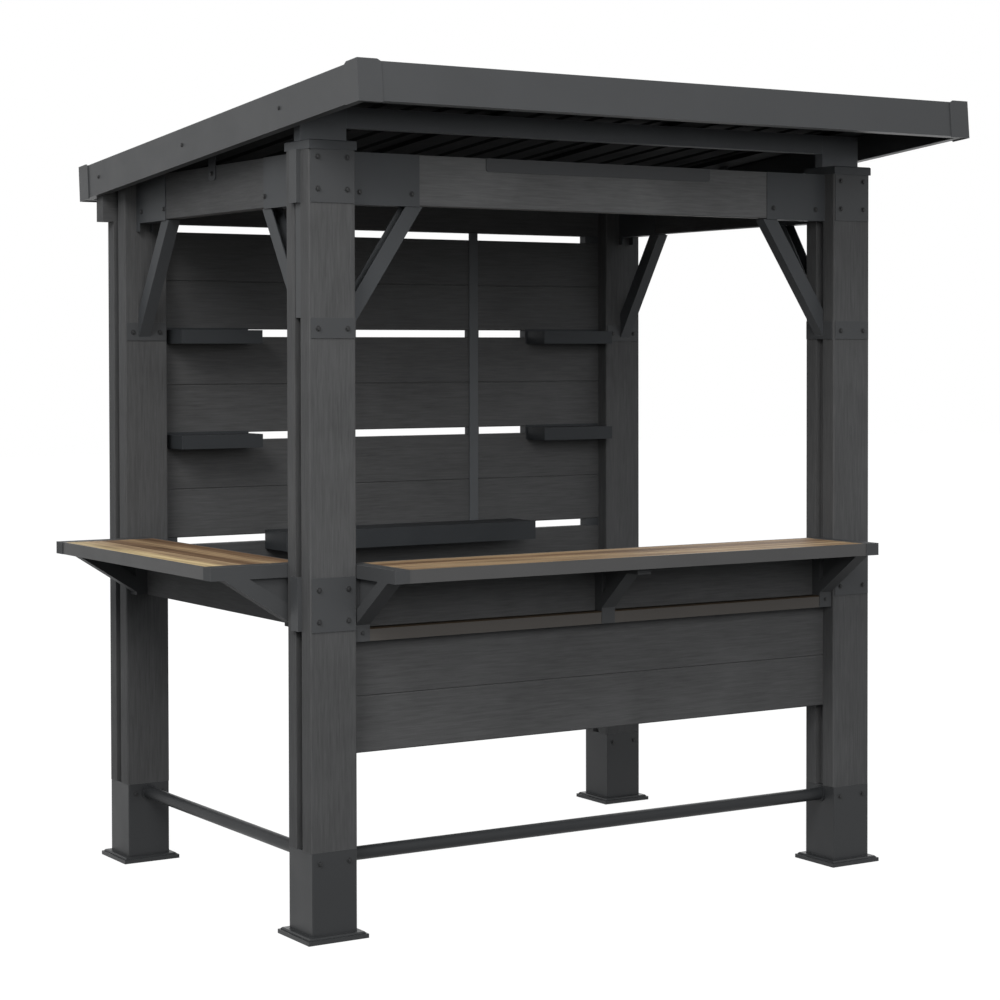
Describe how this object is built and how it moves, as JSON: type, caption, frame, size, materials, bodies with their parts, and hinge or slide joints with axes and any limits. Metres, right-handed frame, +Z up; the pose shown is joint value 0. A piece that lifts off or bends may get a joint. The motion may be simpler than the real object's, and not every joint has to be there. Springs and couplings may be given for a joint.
{
  "type": "bar gazebo",
  "caption": "Open garden bar shelter with a mono-pitch roof on square posts, a bar counter on two sides, a slatted back wall with shelves and low foot rails.",
  "frame": {"origin": "middle of the outline on the ground, under the feet", "axes": "+Z up, -Y out over the long front counter, -X out over the short side counter"},
  "size_m": [2.3576, 1.9268, 2.4493],
  "materials": {
    "dark_boards": "charcoal stained, fine grain",
    "frame_steel": "matt powder coat",
    "fascia_steel": "matt powder coat",
    "roof_steel": "matt powder coat",
    "counter_steel": "matt powder coat",
    "ledge_steel": "matt powder coat",
    "counter_boards": "brown weathered board, satin",
    "ledge_boards": "brown board, satin"
  },
  "bodies": {
    "root": {"back_wall_battens": "frame_steel", "back_wall_boards": "dark_boards", "back_wall_spacers": "frame_steel", "beam_back": "dark_boards", "beam_brackets": "frame_steel", "beam_front": "dark_boards", "beam_left": "dark_boards", "beam_right": "dark_boards", "corner_shelves": "frame_steel", "fascia_back": "fascia_steel", "fascia_front": "fascia_steel", "fascia_left": "fascia_steel", "fascia_right": "fascia_steel", "foot_back_left": "frame_steel", "foot_back_right": "frame_steel", "foot_front_left": "frame_steel", "foot_front_right": "frame_steel", "foot_rails": "frame_steel", "front_apron": "dark_boards", "front_counter_brackets": "frame_steel", "front_counter_frame": "counter_steel", "front_counter_top": "counter_boards", "front_ledge": "ledge_steel", "front_ledge_boards": "ledge_boards", "front_wall_boards": "dark_boards", "knee_braces_front": "frame_steel", "knee_braces_left": "frame_steel", "knee_braces_right": "frame_steel", "left_apron": "dark_boards", "left_counter_brackets": "frame_steel", "left_counter_frame": "counter_steel", "left_counter_top": "counter_boards", "long_shelf": "frame_steel", "post_back_left": "dark_boards", "post_back_right": "dark_boards", "post_caps": "frame_steel", "post_front_left": "dark_boards", "post_front_right": "dark_boards", "post_plates": "frame_steel", "power_strip_cover": "frame_steel", "roof_corners": "fascia_steel", "roof_header": "roof_steel", "roof_ledger": "dark_boards", "roof_rafters": "roof_steel", "roof_risers": "frame_steel", "roof_sheet": "roof_steel", "roof_ties": "frame_steel"}
  },
  "joints": []
}
